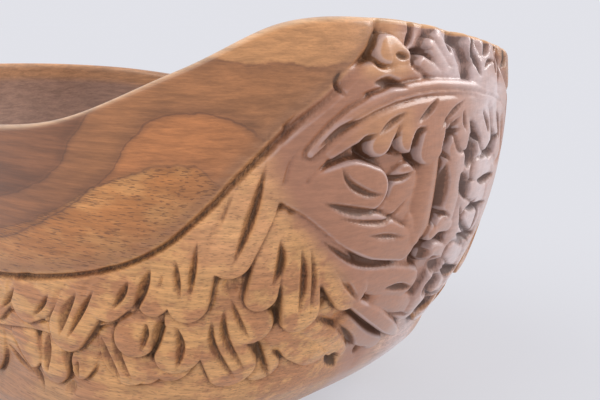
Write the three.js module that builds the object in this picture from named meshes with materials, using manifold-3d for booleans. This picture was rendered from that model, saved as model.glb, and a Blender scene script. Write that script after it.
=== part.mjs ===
// A boat-shaped wooden bowl carved from one block: a smooth panel under each low side of the rim,
// leaves in overlapping tiers below it, a leaf mask on the high end and a fan of leaves on the low end.
// Millimetres, +Z up. +X is the high end, the origin is the middle of the flat foot.
import * as THREE from "three";
import { mergeVertices } from "three/addons/utils/BufferGeometryUtils.js";
import Module from "manifold-3d";

const wasm = await Module();
wasm.setup();

// Overall sizes.
const LENGTH = 400;
const WIDTH = 258;
const FOOT_LENGTH = 208;
const FOOT_WIDTH = 204;
const WIDEST_HEIGHT = 160; // where the wall stops flaring
const TUMBLE_IN = 3.6; // how far the wall leans back in TUMBLE_RISE above that
const TUMBLE_RISE = 30;
const PLAN_POWER = 2.9; // 2 is an ellipse, higher is squarer
const END_TURN = 2.2; // how sharply the ends turn upright
const SIDE_TURN = 1.92; // the same for the sides
const END_START = 1.42; // how flat the ends leave the foot
const SIDE_START = 1.3; // how flat the sides leave it

// Heights of the rim.
const HEAD_HEIGHT = 191; // shoulder beside the mask
const TIP_HEIGHT = 188; // over the mask
const FAR_SHOULDER_HEIGHT = 179;
const SIDE_HEIGHT = 144; // the low sides
const TAIL_HEIGHT = 161; // the low end

// Thicknesses.
const WALL = 10; // at the sides of the rim
const BELLY_EXTRA = 3; // more halfway down
const HEAD_EXTRA = 6; // more at the mask
const FLOOR = 17;
const RELIEF = 5; // depth of the carving below the panels' face
const SINK = 4.5; // how deep the leaves' solids reach into the wall

// The carving, in millimetres along the wall: girth from the tip of an end, run up from the foot.
// Runs are measured on one section of the wall, whose half widths are these.
const SECTION_HALF = 150;
const SECTION_FOOT = 55.5;
const SECTION_TURN = 1.92;
const SECTION_START = 2.29;
const PANEL_START = 44; // girth where the panel's edge leaves the rim
const PANEL_SHOULDER = 100; // girth where the edge has dropped steeply
const PANEL_SHOULDER_RUN = 174;
const PANEL_LOW_RUN = 124; // run of the edge at the middle of a side
const TAIL_PANEL_RUN = 150; // the same at the low end's shoulder
const PANEL_FADE = 8; // how far the panel takes to fade out on either side of PANEL_START
const LIP = 1.5; // width of the step at the edge
const LEAF_START = 62; // girth from an end's tip where the tiers start
const LEAF_PITCH = 32;
const LEAF_WIDTH = 31;
const LEAF_SLANT = 12; // how far a stalk stands nearer the end than its tip does
const TIERS = [
  { tipRun: 119, length: 42, top: 0.8, offset: 0 },
  { tipRun: 99, length: 36, top: 2.0, offset: 0.5 },
  { tipRun: 82, length: 32, top: 3.2, offset: 0 },
];

// How finely the surfaces are divided.
const COLUMNS = 56;
const FIELD_ROWS = 7;
const PANEL_ROWS = 4;
const RIM_STEPS = 3;
const INNER_ROWS = 7;
const CURVE_STEPS = 3;
const TABLE_STEPS = 2400;

const WOOD = new THREE.MeshStandardMaterial({ color: 0xa9744a, roughness: 0.45, metalness: 0 });

// ---- The wall as a surface -------------------------------------------------------------------

const RIM_KNOTS = [
  [-180, TAIL_HEIGHT],
  [-140, TAIL_HEIGHT - 4],
  [-100, SIDE_HEIGHT],
  [-75, SIDE_HEIGHT + 4],
  [-60, SIDE_HEIGHT + 10],
  [-45, HEAD_HEIGHT - 18],
  [-32, HEAD_HEIGHT - 2],
  [-15, HEAD_HEIGHT],
  [0, TIP_HEIGHT],
  [25, FAR_SHOULDER_HEIGHT],
  [50, FAR_SHOULDER_HEIGHT - 12],
  [75, SIDE_HEIGHT + 4],
  [100, SIDE_HEIGHT],
  [140, TAIL_HEIGHT - 4],
  [180, TAIL_HEIGHT],
];

// Rim height at a plan angle: a Catmull-Rom curve through the knots that closes on itself.
function rimHeight(angle) {
  const turn = 360;
  const degrees = ((THREE.MathUtils.radToDeg(angle) + 180 + turn) % turn) - 180;
  const last = RIM_KNOTS.length - 1;
  const knot = (i) => {
    if (i < 0) return [RIM_KNOTS[last + i][0] - turn, RIM_KNOTS[last + i][1]];
    if (i > last) return [RIM_KNOTS[i - last][0] + turn, RIM_KNOTS[i - last][1]];
    return RIM_KNOTS[i];
  };
  let i = 0;
  while (i < last - 1 && degrees > RIM_KNOTS[i + 1][0]) i += 1;
  const slope = (j) => (knot(j + 1)[1] - knot(j - 1)[1]) / (knot(j + 1)[0] - knot(j - 1)[0]);
  const [a, b] = [knot(i), knot(i + 1)];
  const span = b[0] - a[0];
  const s = (degrees - a[0]) / span;
  const rise = s * s * (3 - 2 * s);
  const from = a[1] + (b[1] - a[1]) * rise;
  return from + span * (slope(i) * s * (1 - s) ** 2 - slope(i + 1) * s * s * (1 - s));
}

// Share of the way out from the foot's edge to the full width, and the inward lean, at a height.
function flare(height, turn, start) {
  const left = Math.max(0, 1 - height / WIDEST_HEIGHT);
  return (1 - left ** turn) ** (1 / start);
}

function lean(height) {
  return TUMBLE_IN * (Math.max(0, height - WIDEST_HEIGHT) / TUMBLE_RISE) ** 2;
}

function halfSizes(height) {
  const out = lean(height);
  const a = (FOOT_LENGTH + (LENGTH - FOOT_LENGTH) * flare(height, END_TURN, END_START)) / 2;
  const b = (FOOT_WIDTH + (WIDTH - FOOT_WIDTH) * flare(height, SIDE_TURN, SIDE_START)) / 2;
  return [a - out, b - out];
}

// Plan outline of half sizes a and b, squarer than an ellipse.
function planPoint(angle, a, b) {
  const c = Math.cos(angle);
  const s = Math.sin(angle);
  const r = (Math.abs(c) ** PLAN_POWER + Math.abs(s) ** PLAN_POWER) ** (-1 / PLAN_POWER);
  return [a * r * c, b * r * s];
}

// A curve's length so far at each step, to find a place by its distance along the curve.
function lengthTable(pointAt, from, to) {
  const table = [{ at: from, length: 0 }];
  let last = pointAt(from);
  for (let i = 1; i <= TABLE_STEPS; i++) {
    const at = from + ((to - from) * i) / TABLE_STEPS;
    const here = pointAt(at);
    const step = Math.hypot(here[0] - last[0], here[1] - last[1]);
    table.push({ at, length: table[i - 1].length + step });
    last = here;
  }
  return table;
}

function lookUp(table, value, key, wanted) {
  let low = 0;
  let high = table.length - 1;
  while (high - low > 1) {
    const middle = (low + high) >> 1;
    if (table[middle][key] < value) low = middle;
    else high = middle;
  }
  const [a, b] = [table[low], table[high]];
  const share = THREE.MathUtils.clamp((value - a[key]) / (b[key] - a[key]), 0, 1);
  return a[wanted] + (b[wanted] - a[wanted]) * share;
}

const girthTable = lengthTable((angle) => planPoint(angle, LENGTH / 2, WIDTH / 2), 0, Math.PI);
const HALF_GIRTH = girthTable[TABLE_STEPS].length;

// Steps crowd towards the foot, where the wall is nearly level.
const riseOf = (share) => share ** 3 * 1.3 * HEAD_HEIGHT;
const sectionHalf = (height) =>
  SECTION_FOOT + (SECTION_HALF - SECTION_FOOT) * flare(height, SECTION_TURN, SECTION_START) - lean(height);
const runTable = lengthTable((share) => [sectionHalf(riseOf(share)), riseOf(share)], 0, 1);
for (const entry of runTable) entry.at = riseOf(entry.at);

const runOf = (height) => lookUp(runTable, height, "at", "length");
const heightOf = (run) => lookUp(runTable, run, "length", "at");

// Plan angle at a girth, which may run on past the low end's tip.
function angleOf(girth) {
  const round = 2 * HALF_GIRTH;
  const wrapped = ((((girth + HALF_GIRTH) % round) + round) % round) - HALF_GIRTH;
  return Math.sign(wrapped) * lookUp(girthTable, Math.abs(wrapped), "length", "at");
}

function outerPoint(angle, height) {
  const [x, y] = planPoint(angle, ...halfSizes(height));
  return new THREE.Vector3(x, y, height);
}

function outwardNormal(angle, height) {
  const d = 1e-3;
  const along = outerPoint(angle + d, height).sub(outerPoint(angle - d, height));
  const up = outerPoint(angle, height + d).sub(outerPoint(angle, Math.max(0, height - d)));
  return along.cross(up).normalize();
}

// A place on the wall: girth from the high end's tip, positive towards +Y, run up from the foot,
// and lift off the uncarved face, negative inwards.
function onWall(girth, run, lift) {
  const angle = angleOf(girth);
  const height = heightOf(run);
  return outerPoint(angle, height).addScaledVector(outwardNormal(angle, height), lift);
}

// ---- The bowl's shell ------------------------------------------------------------------------

const ease = THREE.MathUtils.smoothstep;

// Run of the lower edge of the smooth panel. Near an end it meets the rim.
function panelEdge(girth) {
  const fromHead = Math.abs(girth);
  const fromTail = HALF_GIRTH - fromHead;
  const rim = runOf(rimHeight(angleOf(girth))) - 2 * LIP - WALL / 2;
  const start = Math.min(fromHead, fromTail);
  const shoulder = fromHead < fromTail ? PANEL_SHOULDER_RUN : TAIL_PANEL_RUN;
  const steep = shoulder + (rim - shoulder) * (1 - ease(start, PANEL_START, PANEL_SHOULDER));
  const fade = ease(start, PANEL_SHOULDER, HALF_GIRTH / 2);
  const flat = shoulder + (PANEL_LOW_RUN - shoulder) * (1 - (1 - fade) ** 2);
  return Math.min(rim, start < PANEL_SHOULDER ? steep : flat);
}

function wallThickness(angle, height) {
  const head = HEAD_EXTRA * Math.max(0, Math.cos(angle)) ** 6;
  const belly = BELLY_EXTRA * (1 - ease(height, SIDE_HEIGHT / 2, SIDE_HEIGHT));
  return WALL + head + belly + (FLOOR - WALL - BELLY_EXTRA) * (1 - ease(height, 0, SIDE_HEIGHT / 2));
}

// One column of the shell, from the edge of the foot up the outside, over the rim and down inside.
function columnPoints(girth) {
  const angle = angleOf(girth);
  const rim = rimHeight(angle);
  const thickness = wallThickness(angle, rim);
  const fromEnd = Math.min(Math.abs(girth), HALF_GIRTH - Math.abs(girth));
  const smooth = ease(fromEnd, PANEL_START - PANEL_FADE, PANEL_START + PANEL_FADE);
  const topLift = -RELIEF * (1 - smooth);
  const round = (thickness + topLift) / 2;
  const edge = panelEdge(girth);
  const top = runOf(rim - round);
  const points = [];
  for (let i = 0; i <= FIELD_ROWS; i++) {
    const share = i / FIELD_ROWS;
    points.push(onWall(girth, (edge - LIP) * share, -RELIEF * ease(share, 0, 0.3)));
  }
  for (let i = 0; i <= PANEL_ROWS; i++) {
    points.push(onWall(girth, edge + ((top - edge) * i) / PANEL_ROWS, topLift));
  }
  const normal = outwardNormal(angle, rim - round).setZ(0).normalize();
  const centre = points[points.length - 1].clone().addScaledVector(normal, -round);
  for (let i = 1; i <= RIM_STEPS; i++) {
    const turn = (Math.PI * i) / (RIM_STEPS + 1);
    const out = normal.clone().multiplyScalar(round * Math.cos(turn));
    points.push(centre.clone().add(out).setZ(rim - round + round * Math.sin(turn)));
  }
  for (let i = 0; i <= INNER_ROWS; i++) {
    const height = (rim - round) * (1 - i / INNER_ROWS) ** 1.6;
    const inward = outwardNormal(angle, Math.max(height, 1e-2)).multiplyScalar(-1);
    points.push(outerPoint(angle, height).addScaledVector(inward, wallThickness(angle, height)));
  }
  return points;
}

function shellGeometry() {
  const columns = [];
  for (let i = 0; i < COLUMNS; i++) {
    columns.push(columnPoints(HALF_GIRTH * ((2 * i) / COLUMNS - 1)));
  }
  const rows = columns[0].length;
  const positions = [];
  for (const column of columns) {
    for (const point of column) positions.push(point.x, point.y, point.z);
  }
  const footCentre = positions.push(0, 0, 0) / 3 - 1;
  const floorCentre = positions.push(0, 0, FLOOR) / 3 - 1;
  const index = [];
  for (let i = 0; i < COLUMNS; i++) {
    const here = i * rows;
    const next = ((i + 1) % COLUMNS) * rows;
    index.push(footCentre, next, here);
    for (let j = 0; j < rows - 1; j++) {
      index.push(here + j, next + j, next + j + 1);
      index.push(here + j, next + j + 1, here + j + 1);
    }
    index.push(floorCentre, here + rows - 1, next + rows - 1);
  }
  return new THREE.BufferGeometry()
    .setAttribute("position", new THREE.Float32BufferAttribute(positions, 3))
    .setIndex(index);
}

// ---- Carved pieces of the relief -------------------------------------------------------------

// Wraps a flat outline, in girth and run, round the wall. Its face lies `top` below the uncarved face.
function reliefGeometry(shape, top) {
  const depth = RELIEF + SINK - top;
  const flat = new THREE.ExtrudeGeometry(shape, { depth, bevelEnabled: false, curveSegments: CURVE_STEPS });
  const position = flat.getAttribute("position");
  for (let i = 0; i < position.count; i++) {
    const lift = position.getZ(i) - RELIEF - SINK;
    const place = onWall(position.getX(i), position.getY(i), lift);
    position.setXYZ(i, place.x, place.y, place.z);
  }
  return flat;
}

// A leaf from its stalk to its tip: narrow at the stalk, round at the tip, `bend` to one side.
function leafShape(stalk, tip, width, bend = 0) {
  const start = new THREE.Vector2(...stalk);
  const along = new THREE.Vector2(...tip).sub(start);
  const across = new THREE.Vector2(-along.y, along.x).normalize().multiplyScalar(width / 2);
  const place = (share, side) => {
    const aside = side + 4 * bend * share * (1 - share);
    return start.clone().addScaledVector(along, share).addScaledVector(across, aside);
  };
  const shape = new THREE.Shape();
  const corners = [place(0, 0.3), place(0.35, 1), place(0.8, 1.25), place(1, 0), place(0.8, -1.25)];
  corners.push(place(0.35, -1), place(0, -0.3));
  shape.moveTo(corners[0].x, corners[0].y);
  shape.bezierCurveTo(...corners.slice(1, 4).flatMap((p) => [p.x, p.y]));
  shape.bezierCurveTo(...corners.slice(4, 7).flatMap((p) => [p.x, p.y]));
  return shape;
}

// A band of even width along a curve through points in girth and run.
function bandShape(points, width) {
  const curve = new THREE.SplineCurve(points.map((p) => new THREE.Vector2(...p)));
  const sides = [[], []];
  const steps = points.length * 2;
  for (let i = 0; i <= steps; i++) {
    const here = curve.getPoint(i / steps);
    const side = curve.getTangent(i / steps);
    side.set(-side.y, side.x).multiplyScalar(width / 2);
    sides[0].push(here.clone().add(side));
    sides[1].unshift(here.clone().sub(side));
  }
  return new THREE.Shape([...sides[0], ...sides[1]]);
}

// Tiers of leaves that hang below the panels on both sides, the upper tier lapping over the lower.
function sideLeaves() {
  const made = [];
  const middle = HALF_GIRTH / 2;
  const count = Math.floor((HALF_GIRTH - 2 * LEAF_START) / LEAF_PITCH);
  const pitch = (HALF_GIRTH - 2 * LEAF_START) / count;
  for (const tier of TIERS) {
    for (let i = 0; i <= count - 2 * tier.offset; i++) {
      const girth = LEAF_START + pitch * (i + tier.offset);
      const inward = 1 - Math.abs(girth - middle) / (middle - LEAF_START);
      const slant = LEAF_SLANT * Math.sign(middle - girth) * Math.min(1, 3 * inward);
      const stalkRun = Math.min(tier.tipRun + tier.length, panelEdge(girth - slant) - LIP - 1);
      for (const side of [-1, 1]) {
        const stalk = [side * (girth - slant), stalkRun];
        made.push(reliefGeometry(leafShape(stalk, [side * girth, tier.tipRun], LEAF_WIDTH), tier.top));
      }
    }
  }
  return made;
}

// Larger leaves between the panels' steep edges and the ends.
function shoulderLeaves() {
  const made = [];
  for (const side of [-1, 1]) {
    for (const [end, rise] of [[0, 0], [HALF_GIRTH, PANEL_SHOULDER_RUN - TAIL_PANEL_RUN]]) {
      const place = (girth, run) => [side * Math.abs(end - girth), run - rise];
      made.push(reliefGeometry(leafShape(place(78, 190), place(98, 141), 24), 0));
      made.push(reliefGeometry(leafShape(place(76, 168), place(83, 125), 22), 0.4));
      made.push(reliefGeometry(leafShape(place(72, 166), place(62, 114), 24), 0.4));
      made.push(reliefGeometry(leafShape(place(66, 160), place(34, 119), 26), 0.8));
    }
  }
  return made;
}

// A fan of leaves standing up to the rim at an end.
function crest(end, foot, rimRun, count) {
  const made = [];
  const direction = end === 0 ? 1 : -1;
  for (let i = 0; i < count; i++) {
    const spread = (2 * i) / (count - 1) - 1;
    const stalk = [end + direction * spread * 22, foot];
    const tip = [end + direction * spread * 36, rimRun - 6 - 6 * Math.abs(spread)];
    made.push(reliefGeometry(leafShape(stalk, tip, 22), 0));
  }
  return made;
}

// The leaf mask: a brow band, brow leaves, lids, cheek and lip leaves, a nose and a beard.
function mask() {
  const made = [];
  const brow = [[-74, 172], [-72, 187], [-62, 199], [-40, 207], [0, 209]];
  const whole = [...brow, ...brow.slice(0, -1).reverse().map(([g, r]) => [-g, r])];
  made.push(reliefGeometry(bandShape(whole, 6), 0));
  made.push(reliefGeometry(leafShape([0, 196], [0, 148], 17), 0));
  made.push(reliefGeometry(leafShape([0, 146], [0, 132], 20), 1));
  for (const side of [-1, 1]) {
    const leaf = (stalk, tip, width, top, bend = 0) => {
      const from = [side * stalk[0], stalk[1]];
      const to = [side * tip[0], tip[1]];
      made.push(reliefGeometry(leafShape(from, to, width, side * bend), top));
    };
    leaf([6, 204], [14, 179], 13, 1);
    leaf([20, 204], [27, 186], 13, 1);
    leaf([36, 202], [42, 186], 14, 1);
    leaf([71, 175], [31, 175], 15, 0.5, -0.7);
    leaf([71, 172], [18, 165], 10, 1.5, 1.2);
    leaf([71, 168], [12, 137], 17, 0.8, 1);
    leaf([60, 146], [4, 116], 18, 1.6, 0.6);
    leaf([44, 126], [6, 92], 20, 2.4, 0.5);
    leaf([56, 112], [30, 84], 24, 3, 0.4);
  }
  return made;
}

// ---- Assembly --------------------------------------------------------------------------------

function solidOf(geometry) {
  const bare = geometry.clone().deleteAttribute("normal").deleteAttribute("uv");
  const merged = mergeVertices(bare, 1e-3);
  const vertProperties = merged.attributes.position.array;
  const triVerts = new Uint32Array(merged.index.array);
  return new wasm.Manifold(new wasm.Mesh({ numProp: 3, vertProperties, triVerts }));
}

function geometryOf(solid) {
  const { vertProperties, triVerts } = solid.getMesh();
  const geometry = new THREE.BufferGeometry()
    .setAttribute("position", new THREE.BufferAttribute(vertProperties, 3))
    .setIndex(new THREE.BufferAttribute(triVerts, 1));
  geometry.computeVertexNormals();
  return geometry;
}

function bowlGeometry() {
  const headRim = runOf(TIP_HEIGHT);
  const tailRim = runOf(TAIL_HEIGHT);
  const relief = [...sideLeaves(), ...shoulderLeaves(), ...mask()];
  relief.push(...crest(0, headRim - 22, headRim, 5), ...crest(HALF_GIRTH, tailRim - 60, tailRim, 5));
  const solid = relief.reduce((whole, piece) => whole.add(solidOf(piece)), solidOf(shellGeometry()));
  return geometryOf(solid);
}

const bowl = new THREE.Mesh(bowlGeometry(), WOOD);
bowl.name = "carved_bowl";

const part = new THREE.Group();
part.add(bowl);

export default part;
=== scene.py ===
import functools
import math

import bpy
import numpy as np
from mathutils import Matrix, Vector


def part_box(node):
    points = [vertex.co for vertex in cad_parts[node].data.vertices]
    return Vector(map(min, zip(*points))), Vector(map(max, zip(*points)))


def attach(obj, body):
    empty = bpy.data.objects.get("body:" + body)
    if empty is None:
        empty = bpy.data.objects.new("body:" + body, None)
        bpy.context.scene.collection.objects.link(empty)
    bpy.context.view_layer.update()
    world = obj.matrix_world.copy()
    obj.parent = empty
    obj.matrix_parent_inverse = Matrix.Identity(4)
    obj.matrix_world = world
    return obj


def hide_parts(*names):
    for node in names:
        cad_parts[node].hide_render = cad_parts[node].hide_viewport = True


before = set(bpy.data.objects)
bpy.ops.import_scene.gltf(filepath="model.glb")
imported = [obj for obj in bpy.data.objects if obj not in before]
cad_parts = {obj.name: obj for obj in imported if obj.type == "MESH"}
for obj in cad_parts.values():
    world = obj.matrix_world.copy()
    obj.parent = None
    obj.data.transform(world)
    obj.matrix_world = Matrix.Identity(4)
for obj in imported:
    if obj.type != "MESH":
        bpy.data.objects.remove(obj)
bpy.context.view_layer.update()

MM = 0.001

# ---- The wall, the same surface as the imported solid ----

low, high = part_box("carved_bowl")
HALF_LENGTH = (high.x - low.x) / 2 / MM
HALF_WIDTH = 129.0
FOOT_HALF_LENGTH = 104.0
FOOT_HALF_WIDTH = 102.0
HEAD_HEIGHT = 191.0
TIP_HEIGHT = 188.0
FAR_SHOULDER_HEIGHT = 179.0
SIDE_HEIGHT = 144.0
TAIL_HEIGHT = 161.0
WIDEST_HEIGHT = 160.0
TUMBLE_IN = 3.6
TUMBLE_RISE = 30.0
PLAN_POWER = 2.9
END_TURN = 2.2
END_START = 1.42
SIDE_TURN = 1.92
SIDE_START = 1.3
WALL = 10.0
BELLY_EXTRA = 3.0
HEAD_EXTRA = 6.0
FLOOR = 17.0
SECTION_HALF = 150.0  # the section that runs are measured along
SECTION_FOOT = 55.5
SECTION_TURN = 1.92
SECTION_START = 2.29

RIM_KNOTS = [
    (-180, TAIL_HEIGHT),
    (-140, TAIL_HEIGHT - 4),
    (-100, SIDE_HEIGHT),
    (-75, SIDE_HEIGHT + 4),
    (-60, SIDE_HEIGHT + 10),
    (-45, HEAD_HEIGHT - 18),
    (-32, HEAD_HEIGHT - 2),
    (-15, HEAD_HEIGHT),
    (0, TIP_HEIGHT),
    (25, FAR_SHOULDER_HEIGHT),
    (50, FAR_SHOULDER_HEIGHT - 12),
    (75, SIDE_HEIGHT + 4),
    (100, SIDE_HEIGHT),
    (140, TAIL_HEIGHT - 4),
    (180, TAIL_HEIGHT),
]


def through(knots, at, closed=False):
    """A smooth curve through (place, value) knots, read at the places `at`. A closed one repeats."""
    places, values = np.array(knots, float).T
    if closed:
        turn = places[-1] - places[0]
        at = (at - places[0]) % turn + places[0]
        places = np.concatenate([[places[-2] - turn], places, [places[1] + turn]])
        values = np.concatenate([[values[-2]], values, [values[1]]])
    slopes = np.gradient(values, places)
    slopes[1:-1] = (values[2:] - values[:-2]) / (places[2:] - places[:-2])
    at = np.clip(at, places[0], places[-1])
    i = np.clip(np.searchsorted(places, at, side="right") - 1, 0, len(places) - 2)
    span = places[i + 1] - places[i]
    s = (at - places[i]) / span
    rise = s * s * (3 - 2 * s)
    bend = slopes[i] * s * (1 - s) ** 2 - slopes[i + 1] * s * s * (1 - s)
    return values[i] + (values[i + 1] - values[i]) * rise + span * bend


def ease(value, start, end):
    """0 to 1 as the value goes from start to end, smoothly."""
    share = np.clip((value - start) / (end - start), 0, 1)
    return share * share * (3 - 2 * share)


def ease_over(value, span):
    return ease(value, *span)


def rim_height(angle):
    return through(RIM_KNOTS, np.degrees(angle), closed=True)


def flare(height, turn, start):
    left = np.clip(1 - height / WIDEST_HEIGHT, 0, 1)
    return (1 - left**turn) ** (1 / start)


def half_size(foot, full, height, turn, start):
    lean = TUMBLE_IN * (np.maximum(0, height - WIDEST_HEIGHT) / TUMBLE_RISE) ** 2
    return foot + (full - foot) * flare(height, turn, start) - lean


def plan(angle, a, b):
    c, s = np.cos(angle), np.sin(angle)
    r = (np.abs(c) ** PLAN_POWER + np.abs(s) ** PLAN_POWER) ** (-1 / PLAN_POWER)
    return a * r * c, b * r * s


def outer_point(angle, height):
    a = half_size(FOOT_HALF_LENGTH, HALF_LENGTH, height, END_TURN, END_START)
    b = half_size(FOOT_HALF_WIDTH, HALF_WIDTH, height, SIDE_TURN, SIDE_START)
    x, y = plan(angle, a, b)
    return np.stack([x, y, height + 0 * x], -1)


def outward(angle, height):
    d = 1e-3
    around = outer_point(angle + d, height) - outer_point(angle - d, height)
    up = outer_point(angle, height + d) - outer_point(angle, np.maximum(0, height - d))
    normal = np.cross(around, up)
    return normal / np.linalg.norm(normal, axis=-1, keepdims=True)


_angles = np.linspace(0, math.pi, 4001)
_steps = np.diff(np.stack(plan(_angles, HALF_LENGTH, HALF_WIDTH)), axis=1)
_girths = np.concatenate([[0], np.cumsum(np.hypot(*_steps))])
HALF_GIRTH = _girths[-1]
_heights = 1.3 * HEAD_HEIGHT * np.linspace(0, 1, 4001) ** 3
_section = half_size(SECTION_FOOT, SECTION_HALF, _heights, SECTION_TURN, SECTION_START)
_runs = np.concatenate([[0], np.cumsum(np.hypot(np.diff(_section), np.diff(_heights)))])


def wrapped(girth):
    """The same place with its girth between -HALF_GIRTH and HALF_GIRTH."""
    return (girth + HALF_GIRTH) % (2 * HALF_GIRTH) - HALF_GIRTH


def angle_of(girth):
    signed = wrapped(girth)
    return -np.sign(signed) * np.interp(np.abs(signed), _girths, _angles)


def height_of(run):
    return np.interp(run, _runs, _heights)


def run_of(height):
    return np.interp(height, _heights, _runs)


# ---- The sheet that the carving is laid out on ----

CELL = 0.5
ROWS = 496
COLUMNS = int(round(2 * HALF_GIRTH / CELL))
MARGIN = 4.0  # how far beyond the widest part of a stroke its effect can reach
GROUND = 5.0  # depth of the ground between the leaves
STEEP = 3.8  # slope of a cut edge
CUT_SPREAD = 1.14  # how much wider than its table every cut is made
CUT_DEEPEN = 1.15
CUT_TAPER = 1.05  # above 1, a cut's ends run out to finer points
CUT_HOLLOW = 0.85  # below 1, its walls are hollow; at 1 they are straight
CUT_STAIN_AND_SHADE_DEPTH = 2.0  # a cut at least this deep is painted fully dark, with stain and shade
PIT_STAIN_AND_SHADE_DEPTH = 3.5
MOAT_DEPTH = 1.65  # how far the wood is cut down against the edge of a leaf
MOAT_REACH = 2.8  # how far out from that edge it starts to go down
MOAT_CURVE = 1.3
NEVER = -1e9  # lower than anything on the sheet
FREE_FROM = 0.3  # share of the way along a leaf where its edge starts to stand free
FREE_TO = 0.65
girth_of_column = np.arange(COLUMNS) * CELL - HALF_GIRTH
start_of_column = np.minimum(np.abs(girth_of_column), HALF_GIRTH - np.abs(girth_of_column))
run_of_row = np.arange(ROWS) * CELL
lift = np.zeros((ROWS, COLUMNS), np.float32)
stain_and_shade = np.zeros((ROWS, COLUMNS), np.float32)  # how dark the cuts, hollows and edges' feet are, with stain and painted shade, 0 to 1


def window(points, reach):
    """The sheet's rows and columns within reach of the points, and the places of their cells."""
    left, bottom = points.min(0) - reach - MARGIN
    right, top = points.max(0) + reach + MARGIN
    first = max(0, int(bottom / CELL))
    last = min(ROWS, int(top / CELL) + 2)
    start = int((left + HALF_GIRTH) / CELL)
    columns = np.arange(start, int((right + HALF_GIRTH) / CELL) + 2)
    rows = np.arange(first, last)
    girths, runs = np.meshgrid(columns * CELL - HALF_GIRTH, rows * CELL)
    return np.ix_(rows, columns % COLUMNS), girths, runs


def line_through(points, steps=14):
    points = np.array(points, float)
    if len(points) == 2:
        return points[0] + (points[1] - points[0]) * np.linspace(0, 1, steps)[:, None]
    knots = np.arange(len(points))
    at = np.linspace(0, len(points) - 1, steps)
    sides = [through(np.stack([knots, values], 1), at) for values in points.T]
    return np.stack(sides, 1)


def spread_over(values, steps):
    return np.interp(np.linspace(0, 1, steps), np.linspace(0, 1, len(values)), values)


def measure(line, widths, girths, runs):
    """How far each cell lies inside a stroke along the line, its share of the way, and its side."""
    inside = np.full(girths.shape, NEVER)
    along = np.zeros(girths.shape)
    across = np.zeros(girths.shape)
    steps = len(line) - 1
    for i in range(steps):
        gone = line[i + 1] - line[i]
        length = max(gone @ gone, 1e-9)
        share = ((girths - line[i][0]) * gone[0] + (runs - line[i][1]) * gone[1]) / length
        share = np.clip(share, 0, 1)
        dg = girths - line[i][0] - share * gone[0]
        dr = runs - line[i][1] - share * gone[1]
        away = np.hypot(dg, dr)
        width = widths[i] + (widths[i + 1] - widths[i]) * share
        better = width - away > inside
        inside = np.where(better, width - away, inside)
        along = np.where(better, (i + share) / steps, along)
        side = np.sign(gone[0] * dr - gone[1] * dg) * away / np.maximum(width, 1e-6)
        across = np.where(better, side, across)
    return inside, along, across


def beside_edge(away, darkness=1.0):
    """How deep the wood is cut, and how dark it is painted with stain and the edge's shadow, at a
    distance out from the edge that stands over it.
    """
    depth = MOAT_DEPTH * np.clip(1 - away / MOAT_REACH, 0, 1) ** MOAT_CURVE
    return depth, darkness * ease(away, 1.1, 0.1) + 0.3 * ease(away, MOAT_REACH, 0)


def moat(points, widths):
    """Cuts the wood down round the free part of a tongue of wood, and paints dark stain and its shadow
    beside its edge.
    """
    line = line_through(points)
    half = spread_over(widths, len(line))
    cells, girths, runs = window(line, half.max())
    inside, along, across = measure(line, half, girths, runs)
    free = ease(along, FREE_FROM, FREE_TO)
    depth, dark = beside_edge(np.clip(-inside, 0, None))
    lift[cells] -= free * depth
    stain_and_shade[cells] = np.maximum(stain_and_shade[cells], np.minimum(free * dark, 1))


def lobe(points, widths, tops, crown=0.4, roll=0.35):
    """A raised tongue of wood along a line. Widths are half widths; tops are lifts along it."""
    line = line_through(points)
    half = spread_over(widths, len(line))
    cells, girths, runs = window(line, half.max())
    inside, along, across = measure(line, half, girths, runs)
    top = np.interp(along, np.linspace(0, 1, len(tops)), tops)
    top = top - crown * np.clip(np.abs(across), 0, 1) ** 2
    face = top + STEEP * (inside - np.hypot(inside, roll)) / 2
    stain_and_shade[cells] = np.where((inside > 0.2) & (face > lift[cells]), 0, stain_and_shade[cells])
    lift[cells] = np.maximum(lift[cells], face)


def tier(lobes, put):
    """Lobes that grow together: cut free as one from what lies under them, then raised."""
    for points, widths, tops in lobes:
        moat(put(points), widths)
    for points, widths, tops in lobes:
        lobe(put(points), widths, tops)


def cut(points, half_width, depth, valley=0.3, gentle_stain_and_shade=0.5):
    """A gouge cut: a lopsided V that runs out to a point at both ends and holds dark stain and painted
    shade.

    Valley is where its deepest line lies, from -1 on one side to 1 on the other. The wall on the
    side of 1 is painted dark as in shade, and the last argument is how dark the other wall is."""
    line = line_through(points)
    half_width = half_width * CUT_SPREAD
    half = half_width * np.sin(np.linspace(0.05, math.pi - 0.05, len(line))) ** CUT_TAPER
    cells, girths, runs = window(line, half_width)
    inside, along, across = measure(line, half, girths, runs)
    toward_tail = np.where(line[0][1] > line[-1][1], -across, across)
    steep = (1 - toward_tail) / (1 - valley)
    gentle = (1 + toward_tail) / (1 + valley)
    share = np.clip(np.minimum(steep, gentle), 0, 1) * (inside > 0)
    reach = np.interp(along, np.linspace(0, 1, len(line)), half / half_width)
    lift[cells] -= depth * CUT_DEEPEN * share**CUT_HOLLOW * reach
    # Painted shade: the steep wall is darkest at the valley, the gentle wall is painted lighter.
    steep_stain_and_shade = 1.0 - 0.35 * ease(toward_tail, valley, 1)
    wall = np.where(toward_tail > valley, steep_stain_and_shade, gentle_stain_and_shade)
    dark = wall * ease(inside, -0.15, 0.3)
    stain_and_shade[cells] = np.maximum(stain_and_shade[cells], dark * min(1, depth / CUT_STAIN_AND_SHADE_DEPTH))


def pit(place, radius, depth):
    """A round hollow, painted dark with stain and shade by its depth."""
    line = np.array([place, place], float)
    cells, girths, runs = window(line, radius)
    away = np.hypot(girths - place[0], runs - place[1])
    hollow = ease(radius - away, -0.8, radius * 0.55)
    lift[cells] -= depth * hollow
    stain_and_shade[cells] = np.maximum(stain_and_shade[cells], hollow * min(1, depth / PIT_STAIN_AND_SHADE_DEPTH))


# ---- The smooth panels ----

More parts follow.
